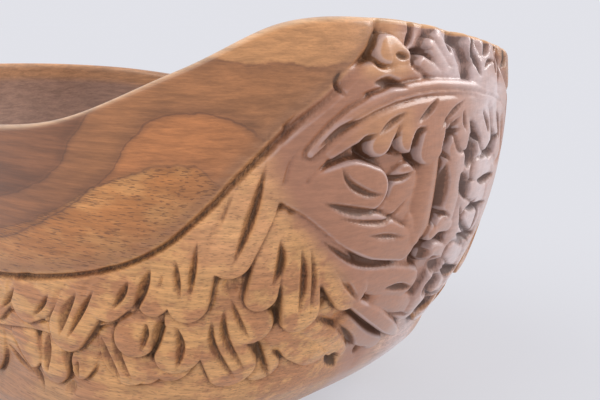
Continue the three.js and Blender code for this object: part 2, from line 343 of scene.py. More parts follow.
# Lower edge of a panel: girth from the high end's tip, and run.
PANEL_EDGE = [(30, 250), (40, 229), (46, 222.5), (53, 216.5), (62.5, 209), (76, 199.5), (87, 189.5)]
PANEL_EDGE += [(97, 179.5), (103, 172.5), (112, 163.5), (122, 154.5), (135, 147), (150, 141.3)]
PANEL_EDGE += [(170, 136.3), (200, 130.8), (222, 127.8), (250, 125), (278, 124), (306, 125)]


TAIL_DROP = 29  # the most that the carving beside the low end lies under that beside the high one
TAIL_DROP_FADE = (30, 190)  # girths from the low end's tip between which that fades out
TAIL_DROP_RUN = 60  # run where it starts, and how far up it is complete
TAIL_DROP_RISE = 170
PANEL_START = 36  # girth from an end's tip where a panel starts
PANEL_ROLL = 3.2  # how softly a panel's lower edge turns down, and how steeply
PANEL_TURN = 2.2
SHELF_ROLL = 0.4
SHELF_STAIN_AND_SHADE = 0.9
STEEPEST_LINE = 3
GROOVE_WIDTH = 1.7
WIDER_AT_ENDS = 1.1
WIDER_AMIDSHIPS = 0.5
GROOVE_DEPTH = 3.0
GROOVE_STAIN_AND_SHADE = 0.75 * GROOVE_DEPTH / 3.4


def tail_drop(start, run):
    """How much lower the carving lies beside the low end than beside the high one."""
    up = np.clip((run - TAIL_DROP_RUN) / TAIL_DROP_RISE, 0, 1)
    return TAIL_DROP * (1 - ease(start, *TAIL_DROP_FADE)) * up


def side_line(knots, girth):
    """Run of a line along both sides, whose knots are given from the high end's tip."""
    from_head = np.abs(girth)
    from_tail = HALF_GIRTH - from_head
    head_side = from_head < from_tail
    start = np.where(head_side, from_head, from_tail)
    edge = through(knots, start)
    return np.where(head_side, edge, edge - tail_drop(start, edge))


def panel_edge(girth):
    return side_line(PANEL_EDGE, girth)


def height_over(edge):
    """How far each cell lies above the line whose run is given for each column, square to the line."""
    slope = np.clip(np.gradient(edge, CELL), -STEEPEST_LINE, STEEPEST_LINE)
    return (run_of_row[:, None] - edge) / np.hypot(1, slope)


def lay_shelf(knots, start, level):
    """A shelf of wood from a line up to the panel, where leaves grow together."""
    edge = np.where(start_of_column < start, 1e3, side_line(knots, girth_of_column))
    over = height_over(edge)
    near = (over > -MOAT_REACH) & (over < 0) & (start_of_column > start + 2)
    # The wood below the shelf's edge is cut down and painted dark with stain and the edge's shadow.
    depth, dark = beside_edge(np.clip(-over, 0, None), SHELF_STAIN_AND_SHADE)
    lift[:] -= near * depth
    np.maximum(stain_and_shade, near * dark, out=stain_and_shade)
    face = level + STEEP * (over - np.hypot(over, SHELF_ROLL)) / 2
    stain_and_shade[:] = np.where((over > 0.2) & (face > lift), 0, stain_and_shade)
    np.maximum(lift, face, out=lift)


def lay_panels():
    over = height_over(panel_edge(girth_of_column))
    face = PANEL_TURN * (over - np.hypot(over, PANEL_ROLL)) / 2
    np.maximum(lift, np.where(start_of_column < PANEL_START, NEVER, face), out=lift)


def cut_panel_groove():
    """The undercut line that a panel's edge stands over."""
    below = -height_over(panel_edge(girth_of_column))
    width = GROOVE_WIDTH + WIDER_AT_ENDS * (1 - ease(start_of_column, 60, 130))
    width = width + WIDER_AMIDSHIPS * ease(start_of_column, 150, 200)
    begun = ease(start_of_column, 26, 78)
    share = np.clip(1 - np.abs(below - width * 0.6) / width, 0, 1)
    lift[:] -= GROOVE_DEPTH * begun * share
    # The undercut is painted dark with stain and the shade inside it.
    np.maximum(stain_and_shade, GROOVE_STAIN_AND_SHADE * ease(share, 0, 0.7) * begun, out=stain_and_shade)


# ---- Leaves below the panels ----

# Run of the lowest leaf tips at each girth from an end.
LEAF_FOOT = [(0, 80), (40, 86), (100, 83), (140, 81), (165, 77), (185, 70), (210, 66), (240, 58)]
LEAF_FOOT += [(278, 54)]
# Each lobe: points, half widths, lifts. They go from the high end to the middle of a side.
LOWER_LOBES = [
    ([(262, 92), (272, 74), (278, 66)], (8, 12, 12), (-4.5, -1.8)),
    ([(236, 98), (246, 80), (252, 72)], (8, 12, 12), (-4.5, -1.8)),
    ([(216, 106), (208, 97), (204, 88)], (9, 12, 11), (-4.0, -1.6)),
    ([(186, 102), (184, 90), (183, 83)], (8, 11, 11), (-4.2, -1.7)),
    ([(160, 98), (163, 90), (164, 85.5)], (7, 8, 6.5), (-4.2, -2.0)),
    ([(110, 100), (113, 95)], (9, 10), (-4.5, -2.8)),
    ([(146, 108), (136, 96), (125, 90)], (6, 9, 8), (-4.6, -2.8)),
    ([(150, 112), (142, 98), (133, 91)], (6, 10, 10), (-4.6, -2.0)),
    ([(78, 108), (72, 95), (68, 90)], (4, 7, 8), (-4.6, -2.6)),
]
MIDDLE_LOBES = [
    ([(97, 138), (88, 124), (81.5, 117)], (3, 8.5, 9), (-4.2, -1.5)),
    ([(100, 136), (96, 112), (84, 93)], (4, 9.5, 11), (-4.2, -1.6)),
    ([(64, 112), (52, 103), (43, 98)], (7, 11, 11), (-4.0, -1.4)),
    ([(130, 122), (132, 114), (133, 110.5)], (8, 11, 11), (-4.0, -1.4)),
    ([(110, 122), (111, 108), (111.5, 103)], (8, 11, 11), (-3.9, -1.2)),
]
UPPER_LOBES = [
    ([(262, 122), (272, 106), (278, 98)], (7, 12, 12), (-1.6, -0.7)),
    ([(232, 126), (246, 112), (256, 104)], (8, 12, 12), (-1.6, -0.7)),
    ([(204, 130), (220, 120), (230, 112)], (7, 11, 11), (-1.5, -0.6)),
    ([(176, 134), (190, 122), (200, 117)], (7, 11, 11), (-1.5, -0.6)),
    ([(152, 138), (163, 121), (171, 108)], (7, 12, 11.5), (-1.4, -0.5)),
    ([(130, 149), (141, 134), (148, 127)], (6, 10, 10), (-1.3, -0.4)),
    ([(116, 160), (122, 142), (125.5, 129)], (5, 8, 7), (-1.3, -0.8)),
    ([(104, 172), (109, 150), (110.5, 129)], (5, 9, 8.6), (-1.5, -0.4)),
    ([(72, 163), (52, 142), (38, 127)], (3, 8, 8.6), (-2.4, -0.7)),
    ([(77, 165), (80, 147), (81, 132)], (3, 6, 6.9), (-2.2, -0.8)),
    ([(73, 163), (66, 140), (61.5, 121)], (3, 8, 8.6), (-2.2, -0.4)),
    ([(80, 196), (88, 170), (95.5, 149.5)], (3, 9, 8.6), (-1.3, 0.0)),
]
# Lower edge of the shelf that the upper leaves grow out of, from the high end's tip: girth, and run.
UPPER_SHELF = [(84, 190), (90, 175), (97, 158), (103, 147), (111, 135), (118, 128), (136, 123)]
UPPER_SHELF += [(158, 114), (185, 110), (215, 110), (243, 106), (278, 102), (311, 104)]
UPPER_SHELF_START = 84
UPPER_SHELF_LEVEL = -0.9
MIDDLE_SHELF = [(100, 118), (108, 116), (122, 117), (140, 116), (150, 114), (170, 104), (200, 102)]
MIDDLE_SHELF += [(230, 97), (278, 92)]
MIDDLE_SHELF_START = 102
MIDDLE_SHELF_LEVEL = -2.4
# Each cut: points, half width, depth.
SIDE_CUTS = [
    ([(76.5, 199), (75.5, 188), (77.0, 173)], 1.5, 3.6),
    ([(84, 187), (89, 166), (95, 145)], 2.0, 3.0),
    ([(108.5, 157), (109.8, 143), (110, 131)], 1.6, 2.6),
    ([(117, 149), (115.8, 140), (113.5, 131)], 1.5, 2.4),
    ([(122, 143), (123, 135)], 0.7, 1.2),
    ([(127, 145), (130.5, 134), (134.5, 121.5)], 2.4, 3.2),
    ([(136.5, 138.5), (140, 131), (144.5, 123.5)], 1.9, 2.6),
    ([(153, 132.5), (162, 119), (170, 104)], 1.8, 2.8),
    ([(163.5, 129), (171, 118), (175, 105)], 2.6, 3.0),
    ([(180.5, 125.5), (187, 118), (194, 111)], 1.7, 2.3),
    ([(205, 124), (213, 116), (221, 109)], 1.8, 2.4),
    ([(226, 121), (236, 111), (245, 102)], 2.2, 2.8),
    ([(242, 118), (252, 108), (259, 98)], 1.6, 2.4),
    ([(262, 118), (268, 109), (272, 99)], 1.9, 2.6),
    ([(64, 152), (60, 138), (58, 121)], 1.2, 2.0),
    ([(68, 153), (64.5, 138), (63.3, 121)], 1.7, 2.6),
    ([(77, 157), (75.5, 146), (77.5, 136)], 2.0, 3.0),
    ([(52, 142), (42, 131.5), (32.5, 122)], 1.3, 2.3),
    ([(94, 132), (88.5, 121), (80.5, 110)], 1.3, 2.0),
    ([(95.5, 128), (92, 111), (77, 91)], 1.8, 2.6),
    ([(100, 122), (96, 106), (80, 87)], 1.8, 2.6),
    ([(77, 108), (71, 96), (62, 83)], 1.9, 2.8),
    ([(53, 112), (43, 101.5), (32.5, 92)], 1.8, 2.8),
    ([(115.5, 118), (110.8, 106), (110.5, 94.5)], 2.1, 2.8),
    ([(129, 118.5), (128.3, 111), (129.5, 103)], 1.8, 2.4),
    ([(120.8, 125), (122.5, 113), (123, 100)], 2.7, 3.2),
    ([(147, 111), (141, 97), (131, 85)], 1.9, 2.8),
    ([(153.5, 107), (148, 96), (137, 83)], 2.2, 2.6),
    ([(166.5, 91), (166, 86), (164, 81)], 1.5, 2.0),
    ([(177.5, 98), (173, 88), (166, 79)], 2.0, 2.8),
    ([(187.5, 102), (188.5, 91), (188, 78)], 2.8, 3.2),
    ([(252, 96), (248, 84), (247, 70)], 2.4, 3.0),
    ([(268, 92), (271, 80), (276, 64)], 2.2, 2.8),
]
# Long grooves low on the sides, cut from below.
LOW_GROOVES = [
    ([(224, 97), (209, 81), (192, 62.5)], 2.4, 3.0),
    ([(231, 84), (218, 76.5), (205, 70)], 2.2, 2.6),
    ([(226, 92), (210, 77.5), (198, 66)], 1.4, 1.6),
]
# Each hollow: place, radius, depth.
HOLLOWS = [
    ((94, 136), 4.0, 1.8),
    ((50.5, 122.5), 2.6, 2.4),
    ((74, 104), 4.0, 1.5),
    ((170, 71), 4.5, 1.6),
]
STRANGENESS = 0.8  # the most that a leaf is shifted on the three quarters that aren't laid as listed


def put_on_quarter(tail, side, points):
    """Places listed for the near quarter beside the high end, laid on any of the four quarters."""
    placed = np.array(points, float)
    if tail or side < 0:
        shift = math.sin(placed.sum()) * STRANGENESS
        placed = placed + (shift, -shift)
    if tail:
        placed[:, 1] -= tail_drop(placed[:, 0], placed[:, 1])
        placed[:, 0] = HALF_GIRTH - placed[:, 0]
    placed[:, 0] *= side
    return placed


def carve_sides():
    quarters = []
    for tail in (False, True):
        for side in (1, -1):
            quarters.append(functools.partial(put_on_quarter, tail, side))
    for put in quarters:
        tier(LOWER_LOBES, put)
    lay_shelf(MIDDLE_SHELF, MIDDLE_SHELF_START, MIDDLE_SHELF_LEVEL)
    for put in quarters:
        tier(MIDDLE_LOBES, put)
    lay_shelf(UPPER_SHELF, UPPER_SHELF_START, UPPER_SHELF_LEVEL)
    for put in quarters:
        tier(UPPER_LOBES, put)
        for points, half_width, depth in SIDE_CUTS:
            cut(put(points), half_width, depth)
        for points, half_width, depth in LOW_GROOVES:
            cut(put(points), half_width, depth, valley=-0.6)
        for place, radius, depth in HOLLOWS:
            pit(put([place])[0], radius, depth)


# ---- The leaf mask on the high end ----

# Broad faces of the mask that its finer leaves lie on: points, half widths, lift.
MASK_PLATES = [
    ([(60, 206), (48, 214), (20, 217), (-8, 216)], (6, 6, 6, 5), -0.9),
    ([(46, 205), (58, 198), (68, 187), (75, 174)], (5, 8, 7, 3), -0.9),
    ([(60, 208), (70, 199), (78, 188), (79, 178)], (4, 5.5, 4, 2), -0.8),
    ([(66, 168), (45, 163), (24, 161)], (3, 5, 7), -1.1),
    ([(20, 172), (22, 160), (16, 150)], (9, 10, 8), -1.3),
    ([(46, 139), (22, 129), (-2, 122)], (5, 8, 8), -1.1),
    ([(18, 117), (-4, 108), (-22, 100)], (6, 8, 6), -1.2),
    ([(34, 110), (12, 95), (-8, 83)], (4, 6, 5), -1.3),
    ([(54, 112), (36, 99), (22, 87)], (4, 6, 5), -1.5),
    ([(-13, 203), (-13, 180), (-14, 152)], (9, 9, 7), -0.3),
    ([(-34, 222), (-34, 190), (-32, 150), (-26, 124), (-18, 104)], (14, 14, 13, 9, 6), -0.1),
    ([(-60, 216), (-58, 190), (-54, 160), (-46, 132), (-38, 108)], (14, 14, 12, 9, 6), 0.0),
]
MASK_LOBES = [
    ([(70, 170), (47, 158.5), (31, 151), (13, 144.5)], (3, 8.5, 9, 7), (-0.9, 0.1, 0.1, -0.2)),
    ([(62, 176), (50, 176), (40, 172.7)], (6, 8.6, 8.6), (-0.7, 0.0)),
    ([(28, 204), (34, 197), (38, 191.7)], (4, 6, 6.3), (-0.8, 0.1)),
    ([(14, 204), (19, 197), (22, 191.7)], (4, 6, 6.3), (-0.8, 0.1)),
    ([(2, 203), (6, 195), (7.5, 188)], (6, 9, 9.3), (-0.8, 0.1)),
    ([(34, 121), (14, 108.5), (-4, 97), (-22, 86)], (2.5, 4, 4, 2.5), (-0.8, 0.2, 0.1, -0.8)),
    ([(15, 157), (11, 151.5), (8, 147)], (2.5, 4.4, 4), (-0.8, 0.1)),
    ([(-18, 148), (-10, 149.5), (-4.5, 147)], (3, 3.8, 3.4), (-0.6, 0.1)),
    ([(-21, 135), (-12, 137.5), (-7, 135)], (3, 3.6, 3), (-0.6, 0.0)),
]
# Leaves on the mask's far half, where the carving is deeper and more broken.
FAR_LOBES = [
    ([(-8, 205), (-13, 196), (-17, 187)], (4, 6.5, 5), (-0.8, 0.1)),
    ([(-24, 205), (-32, 194), (-37, 185)], (4, 7, 5), (-0.8, 0.1)),
    ([(-42, 202), (-50, 188), (-54, 178)], (4, 7, 5), (-0.8, 0.1)),
    ([(-60, 178), (-44, 171), (-32, 172)], (4, 6.5, 5), (-0.9, 0.0)),
    ([(-58, 160), (-44, 159), (-30, 163)], (4, 5.5, 4), (-0.9, 0.0)),
    ([(-60, 148), (-46, 146), (-32, 150)], (4, 5.5, 4), (-0.9, 0.0)),
    ([(-54, 130), (-40, 128), (-27, 134)], (4, 5.5, 4), (-1.0, -0.1)),
    ([(-46, 114), (-36, 112), (-26, 119)], (3, 5, 4), (-1.0, -0.1)),
]
# Where the mask's leaves grow together, above their free tips: points, half widths, lift.
MASK_JOINS = [
    ([(-22, 200), (0, 201.5), (24, 201), (46, 197), (60, 190)], (6, 5.5, 5, 5, 4), -0.1),
    ([(76, 174), (62, 170), (52, 167)], (4, 8, 7), -0.35),
]
MASK_CUT_SPREAD = 1.2
MASK_CUTS = [
    ([(11, 194.5), (16.5, 191.5), (18, 185), (14.5, 177)], 2.4, 4.6),
    ([(27, 193.5), (30, 190), (28.5, 186.5), (25, 185.5)], 1.5, 3.4),
    ([(40, 194.5), (45, 191.5), (45, 187), (41, 185.3)], 1.8, 3.8),
    ([(3.5, 205.5), (10, 201), (18, 196)], 1.4, 1.8),
    ([(23, 201.5), (32, 198), (40, 193.5)], 1.3, 1.7),
    ([(46, 200), (56, 197), (66, 190.5)], 1.4, 1.8),
    ([(55.5, 183.5), (51, 176.5), (42, 171.5), (33, 170)], 1.3, 1.9),
    ([(14, 177), (22, 175.3), (29, 174.5), (31, 166)], 1.2, 2.6),
    ([(63, 170.3), (48, 165.3), (29, 162.3)], 1.5, 2.0),
    ([(58, 164.3), (42, 160), (28, 159), (17, 167)], 1.1, 1.6),
    ([(40, 154), (28, 151.8), (15, 149)], 1.1, 1.6),
    ([(62, 155.5), (40, 141.5), (12, 134)], 1.2, 2.2),
    ([(17, 124.3), (5, 122), (-8, 118.3)], 1.7, 2.4),
    ([(2, 106.3), (-10, 102.5), (-24, 98.5)], 0.9, 1.5),
    ([(37, 118), (20, 106), (0, 93.5), (-24, 82.5)], 1.6, 3.0),
    ([(39, 112), (22, 97), (10, 84.5)], 1.3, 2.4),
    ([(30, 91), (25, 84), (17, 76)], 2.8, 3.0),
    ([(24, 210.5), (33, 213), (42, 213)], 1.7, 2.6),
    ([(55, 219), (58, 214), (53.5, 208)], 1.1, 2.4),
    ([(-6, 178), (-6.5, 165), (-5, 149)], 3.0, 4.2),
    ([(-17, 152.5), (-8, 155.5), (-1.5, 151)], 1.2, 2.8),
    ([(-20, 139.3), (-11, 142.3), (-2, 140)], 1.3, 3.0),
    ([(-12, 191.8), (-6, 190), (-3, 184), (-8, 178.5)], 2.2, 4.4),
    ([(-22, 194.5), (-25, 189), (-32, 184.5)], 2.2, 4.4),
    ([(-52, 186), (-43, 181), (-34, 176)], 2.8, 4.6),
    ([(-37, 158), (-34, 153)], 0.8, 1.8),
    ([(-22, 158), (-30, 146), (-47, 133)], 1.2, 2.0),
    ([(-28, 150), (-38, 142), (-52, 136)], 1.0, 1.6),
    ([(-45, 155), (-44, 139)], 1.6, 2.0),
    ([(-16, 204), (-6, 199), (2, 192)], 1.2, 1.7),
    ([(-12, 197), (-4, 191)], 1.0, 1.5),
    ([(-20, 189), (-24, 181), (-23, 173)], 3.6, 5.0),
    ([(-18, 172), (-23, 166), (-27, 159)], 3.2, 4.6),
    ([(-42, 190), (-45, 181), (-43, 175)], 3.2, 4.6),
    ([(-34, 167), (-44, 165.5), (-54, 167)], 2.2, 3.6),
    ([(-28, 154), (-40, 153), (-52, 154)], 1.8, 3.0),
    ([(-26, 143), (-38, 138), (-50, 139)], 2.2, 3.4),
    ([(-25, 127), (-36, 121), (-48, 121)], 2.2, 3.4),
    ([(-30, 199), (-36, 192), (-38, 187)], 1.2, 2.0),
    ([(-14, 200), (-15, 195), (-17, 190)], 1.0, 1.8),
    ([(-46, 197), (-51, 190), (-53, 183)], 1.4, 2.2),
    ([(-62, 204), (-64, 190), (-62, 176)], 1.8, 2.8),
]
CREST_LOBES = [
    ([(-12, 212), (-5, 222), (3, 229)], (2, 3.6, 3), (-1.6, -0.1)),
    ([(-8, 212), (1, 219.5), (8, 226)], (2, 3.3, 2.8), (-1.6, -0.1)),
    ([(-3, 213), (8, 217), (16, 220.5)], (2, 3.2, 2.6), (-1.6, -0.1)),
    ([(24, 222.5), (31, 225), (34.3, 225)], (3.5, 5.4, 5.6), (-0.8, 0.2)),
    ([(-28, 213), (-24, 221), (-20, 227)], (2, 4, 3), (-1.5, -0.1)),
]
CREST_CUTS = [
    ([(33, 233.5), (39, 230), (41, 226), (42, 221)], 1.7, 3.6),
    ([(32, 219), (37, 219.3), (40.5, 221.5)], 0.8, 1.8),
    ([(21.5, 221.8), (31, 223.3)], 1.3, 2.0),
    ([(13.5, 234), (16.5, 230), (20.5, 225.5)], 1.5, 3.2),
    ([(8, 224.5), (14, 224.3), (18.5, 221.5), (20.8, 217.8)], 1.7, 3.4),
    ([(-14, 231.5), (-10.5, 227), (-11.5, 221.5), (-16, 218.5)], 2.0, 3.8),
    ([(-37, 228), (-34, 224.5), (-30, 221)], 2.2, 3.6),
    ([(-42, 218), (-35, 218.5), (-30, 215)], 1.0, 2.2),
    ([(-20.5, 225), (-24.5, 219), (-28, 212)], 1.6, 2.6),
    ([(-47, 223), (-48, 216), (-45.5, 207)], 1.3, 2.4),
    ([(-42.5, 222), (-43.5, 212)], 1.3, 2.4),
    ([(-58, 224), (-54, 215)], 2.6, 3.4),
    ([(0, 233), (-3, 228), (-6, 222)], 1.4, 2.6),
    ([(-26, 231), (-22, 226), (-21, 219)], 1.5, 2.6),
    ([(-50, 230), (-46, 226), (-44, 222)], 1.6, 2.8),
]
MASK_PITS = [
    ((-4.5, 135), 5.2, 4.6),
    ((-21, 127), 4.5, 3.6),
    ((-25, 115.5), 7.0, 5.0),
    ((-34, 101), 9.0, 5.5),
    ((2, 81), 2.8, 2.6),
    ((-15, 229), 3.6, 2.6),
]
NOSE = [(5, 192), (5, 178), (6, 164), (6, 152)]
# The rolled band between the mask and the crest, and the fine line under it.
BAND = [(-68, 190), (-56, 199), (-40, 204.5), (-20, 208), (3, 210), (22, 209.4)]
BAND += [(38, 206.5), (52, 201), (61, 195), (68, 188.5)]
BAND_WIDTHS = (1.2, 2.9, 3.0, 2.9, 1.6)
BAND_LINE_DROP = 0.9


def carve_mask():
    for points, widths, level in MASK_PLATES:
        lobe(points, widths, (level, level), crown=0.2, roll=1.2)
    tier(MASK_LOBES + CREST_LOBES, np.array)
    tier(FAR_LOBES, np.array)
    for points, widths, level in MASK_JOINS:
        lobe(points, widths, (level, level), crown=0.1, roll=1.0)
    moat(BAND, BAND_WIDTHS)
    lobe(BAND, BAND_WIDTHS, (-0.9, 0.1, 0.1, -0.3), crown=0.7)
    lobe(NOSE, (7, 7.5, 9, 9.5), (-0.2, 0.1, 0.3, 0.4), crown=1.6, roll=1.6)
    for points, half_width, depth in MASK_CUTS + CREST_CUTS:
        cut(points, MASK_CUT_SPREAD * half_width, depth, valley=0.1, gentle_stain_and_shade=0.95)
    cut([(girth, run - BAND_LINE_DROP) for girth, run in BAND], 0.9, 0.8)
    for place, radius, depth in MASK_PITS:
        pit(place, radius, depth)


# ---- The fan of leaves on the low end ----

# Two rows of hanging leaves: run of the roots, lift of the tips.
TAIL_ROWS = ((104, -2.4), (128, -1.9))
TAIL_PITCH = 23
TAIL_LEAF = 18
TAIL_LEAF_WIDTHS = (8, 10.5)
# The leaves that fan out above them, the outermost laid first.
FAN_ORDER = (3, -3, 2, -2, 1, -1, 0)
FAN_LEAN = math.radians(21)
FAN_PITCH = 5
FAN_ROOT_RUN = 122
FAN_LENGTH = 74
FAN_SHORTER = 4
FAN_WIDTHS = (4, 10, 8.5)
VEIN_ASIDE = 3.4


def carve_tail():
    for row, (run, tip_lift) in enumerate(TAIL_ROWS):
        for i in range(-3, 4):
            girth = HALF_GIRTH + (i + 0.5 * row) * TAIL_PITCH
            leaf = [(girth, run), (girth, run - TAIL_LEAF)]
            moat(leaf, TAIL_LEAF_WIDTHS)
            lobe(leaf, TAIL_LEAF_WIDTHS, (-4.0, tip_lift))
            cut([(girth, run - 2), (girth + 1, run - 24)], 1.9, 2.6)
    for turn in FAN_ORDER:
        lean = FAN_LEAN * turn
        reach = FAN_LENGTH - FAN_SHORTER * abs(turn)
        root = np.array([HALF_GIRTH + FAN_PITCH * turn, FAN_ROOT_RUN])
        tip = root + reach * np.array([math.sin(lean), math.cos(lean)])
        leaf = [root, (root + tip) / 2 + (1.5 * turn, 0), tip]
        moat(leaf, FAN_WIDTHS)
        lobe(leaf, FAN_WIDTHS, (-2.6, -1.4, -0.3 - 0.15 * abs(turn)))
        for side in (-1, 1):
            aside = np.array([math.cos(lean), -math.sin(lean)]) * VEIN_ASIDE * side
            cut([root * 0.7 + tip * 0.3 + aside * 0.6, root * 0.08 + tip * 0.92 + aside], 1.4, 2.2)


# ---- Carve ----

LOWEST = -8.5
HIGHEST = 0.4
UNEVEN = 0.5  # how much the ground between the leaves rises and falls

low_edge = through(LEAF_FOOT, start_of_column)
sunk = ease(run_of_row[:, None], low_edge - 16, low_edge + 6)
lift -= GROUND * sunk
lift += UNEVEN * np.sin(girth_of_column / 9.0) * np.sin(run_of_row / 7.0)[:, None] * sunk
lay_panels()
carve_sides()
carve_mask()
carve_tail()
lay_panels()
cut_panel_groove()
lift = np.clip(lift, LOWEST, HIGHEST)
lift *= ease(run_of_row, 4, 22)[:, None]


def blurred(field, radius):
    """The field averaged over about that radius, round the closed girth and up the run."""
    cells = max(1, int(round(radius / CELL)))
    for _ in range(2):
        round_girth = np.concatenate([field[:, -cells - 1 :], field, field[:, :cells]], 1)
        total = np.cumsum(round_girth, 1, dtype=np.float64)
        field = (total[:, 2 * cells + 1 :] - total[:, : -2 * cells - 1]) / (2 * cells + 1)
        padded = np.pad(field, ((cells + 1, cells), (0, 0)), mode="edge")
        total = np.cumsum(padded, 0, dtype=np.float64)
        field = (total[2 * cells + 1 :] - total[: -2 * cells - 1]) / (2 * cells + 1)
    return field


hollow_near = blurred(lift, 1.0) - lift
hollow_wide = blurred(lift, 3.0) - lift
slope_up, slope_round = np.gradient(blurred(lift, 0.5), CELL)
steepness = np.hypot(slope_up, slope_round) * ease(-lift, 0.6, 1.6)
# Painted shade, with stain, also darkens steep walls and hollows, narrow and wide: strength, start,
# full.
painted_shade_sources = ((steepness, 0.75, 0.5, 1.5), (hollow_near, 0.85, 0.15, 0.8), (hollow_wide, 0.7, 0.5, 1.8))
for caught, strength, start, full in painted_shade_sources:
    stain_and_shade = np.maximum(stain_and_shade, strength * ease(caught, start, full))
stain_and_shade = blurred(stain_and_shade, 0.25)


def read(field, girth, run):
    """The field between its cells."""
    column = (girth + HALF_GIRTH) / CELL
    row = np.clip(run / CELL, 0, ROWS - 1.001)
    c = np.floor(column).astype(int)
    r = np.floor(row).astype(int)
    u = column - c
    v = row - r
    c0, c1 = c % COLUMNS, (c + 1) % COLUMNS
    low_row = field[r, c0] * (1 - u) + field[r, c1] * u
    high_row = field[r + 1, c0] * (1 - u) + field[r + 1, c1] * u
    return low_row * (1 - v) + high_row * v


# ---- The mesh ----

FINE = 0.55  # column spacing where the leaves are seen closest, from behind the mask's far eye
COARSE = 1.15  # column spacing elsewhere
FINE_FROM = -80.0
FINE_TO = 250.0
LOW_ROWS = 30  # rows up the lowest fifth of the outside, and up the rest of it
UPPER_ROWS = 310
INSIDE_ROWS = 96
CENTRE_SHARES = (0.92, 0.75, 0.5, 0.25, 0.02)  # rows across the foot and the floor
RIM_TURNS = 12
RIM_RISE = 3.4
RIM_SQUARE = 2.5


def column_girths():
    fine = np.linspace(FINE_FROM, FINE_TO, int((FINE_TO - FINE_FROM) / FINE), endpoint=False)
    rest = 2 * HALF_GIRTH - (FINE_TO - FINE_FROM)
    coarse = np.linspace(FINE_TO, FINE_TO + rest, int(rest / COARSE), endpoint=False)
    return np.concatenate([fine, coarse])


def wall_thickness(angle, height):
    head = HEAD_EXTRA * np.maximum(0, np.cos(angle)) ** 6
    belly = BELLY_EXTRA * (1 - ease(height, SIDE_HEIGHT / 2, SIDE_HEIGHT))
    low = (FLOOR - WALL - BELLY_EXTRA) * (1 - ease(height, 0, SIDE_HEIGHT / 2))
    return WALL + head + belly + low


girth = column_girths()
angle = angle_of(girth)
rim = rim_height(angle)
rings = []  # each ring: points, girths, runs and how far it lies in from the outer face, 0 to 1


def ring(points, run, inside):
    rings.append((points, run + 0 * girth, inside + 0 * girth))


def lay_foot():
    edge = outer_point(angle, 0 * angle)
    for share in reversed(CENTRE_SHARES):
        ring(edge * (share, share, 1), 0, 0)


def lay_outside():
    top = run_of(rim - RIM_RISE)
    low_shares = np.linspace(0, 0.2, LOW_ROWS, endpoint=False)
    for share in np.concatenate([low_shares, np.linspace(0.2, 1, UPPER_ROWS)]):
        run = share * top
        height = height_of(run)
        raised = read(lift, girth, run)[:, None]
        ring(outer_point(angle, height) + outward(angle, height) * raised, run, 0)


def lay_rim():
    """The rounded top of the wall, a flattened half round between the two faces."""
    height = rim - RIM_RISE
    thickness = wall_thickness(angle, rim)
    normal = outward(angle, height)
    normal[:, 2] = 0
    normal /= np.linalg.norm(normal, axis=1, keepdims=True)
    outer = outer_point(angle, height)
    top = run_of(height)
    raised = read(lift, girth, top)
    for i in range(1, RIM_TURNS):
        turn = math.pi * i / RIM_TURNS
        c, s = math.cos(turn), math.sin(turn)
        along = (1 - np.sign(c) * abs(c) ** (2 / RIM_SQUARE)) / 2
        up = abs(s) ** (2 / RIM_SQUARE) * RIM_RISE
        place = outer - normal * (thickness * along)[:, None]
        place = place + normal * (raised * (1 - along) ** 3)[:, None]
        place[:, 2] = height + up
        ring(place, top + up, along)


def lay_inside():
    for i in range(INSIDE_ROWS):
        share = 1 - i / (INSIDE_ROWS - 1)
        height = (rim - RIM_RISE) * share**1.25
        inward = -outward(angle, np.maximum(height, 0.01))
        thickness = wall_thickness(angle, height)[:, None]
        ring(outer_point(angle, height) + inward * thickness, run_of(height), 1)
    edge = rings[-1][0]
    for share in CENTRE_SHARES:
        ring(edge * (share, share, 1), 0, 1)


def build_bowl():
    lay_foot()
    lay_outside()
    lay_rim()
    lay_inside()
    count = len(girth)
    points = np.concatenate([r[0] for r in rings]) * MM
    columns = np.arange(count)
    beside = (columns + 1) % count
    quads = []
    for i in range(len(rings) - 1):
        # Columns run towards -Y from +X, so they go round backwards seen from above.
        here, above = i * count, (i + 1) * count
        quads.append(np.stack([here + beside, here + columns, above + columns, above + beside], 1))
    quads = np.concatenate(quads)
    last = (len(rings) - 1) * count
    centres = [len(points), len(points) + 1]
    points = np.concatenate([points, [[0, 0, 0], [0, 0, points[last, 2]]]])
    foot = np.stack([columns, beside, np.full(count, centres[0])], 1)
    floor = np.stack([last + beside, last + columns, np.full(count, centres[1])], 1)
    mesh = bpy.data.meshes.new("carved_bowl_skin")
    corners = np.concatenate([quads.ravel(), foot.ravel(), floor.ravel()])
    sizes = np.concatenate([np.full(len(quads), 4), np.full(2 * count, 3)])
    mesh.vertices.add(len(points))
    mesh.vertices.foreach_set("co", points.ravel())
    mesh.loops.add(len(corners))
    mesh.loops.foreach_set("vertex_index", corners)
    mesh.polygons.add(len(sizes))
    mesh.polygons.foreach_set("loop_start", np.concatenate([[0], np.cumsum(sizes)[:-1]]))
    mesh.polygons.foreach_set("loop_total", sizes)
    mesh.update(calc_edges=True)
    mesh.validate()
    mesh.polygons.foreach_set("use_smooth", np.ones(len(sizes), bool))
    return mesh


def paint(mesh, name, values):
    """Keeps one number at each point of the mesh, for the wood material to read."""
    layer = mesh.attributes.new(name, "FLOAT", "POINT")
    full = np.zeros(len(mesh.vertices), np.float32)
    full[: len(values)] = values
    layer.data.foreach_set("value", full)


# ---- Where the wood changes colour ----

# Edge of the golden sapwood in the panels: girth from the high end's tip, and run.
SAPWOOD_EDGE = [(70, 150), (100, 176), (108, 184), (120, 185.5), (132, 182.5), (148, 176)]
SAPWOOD_EDGE += [(175, 163), (190, 156.5), (212, 151), (245, 146), (278, 144), (311, 146)]
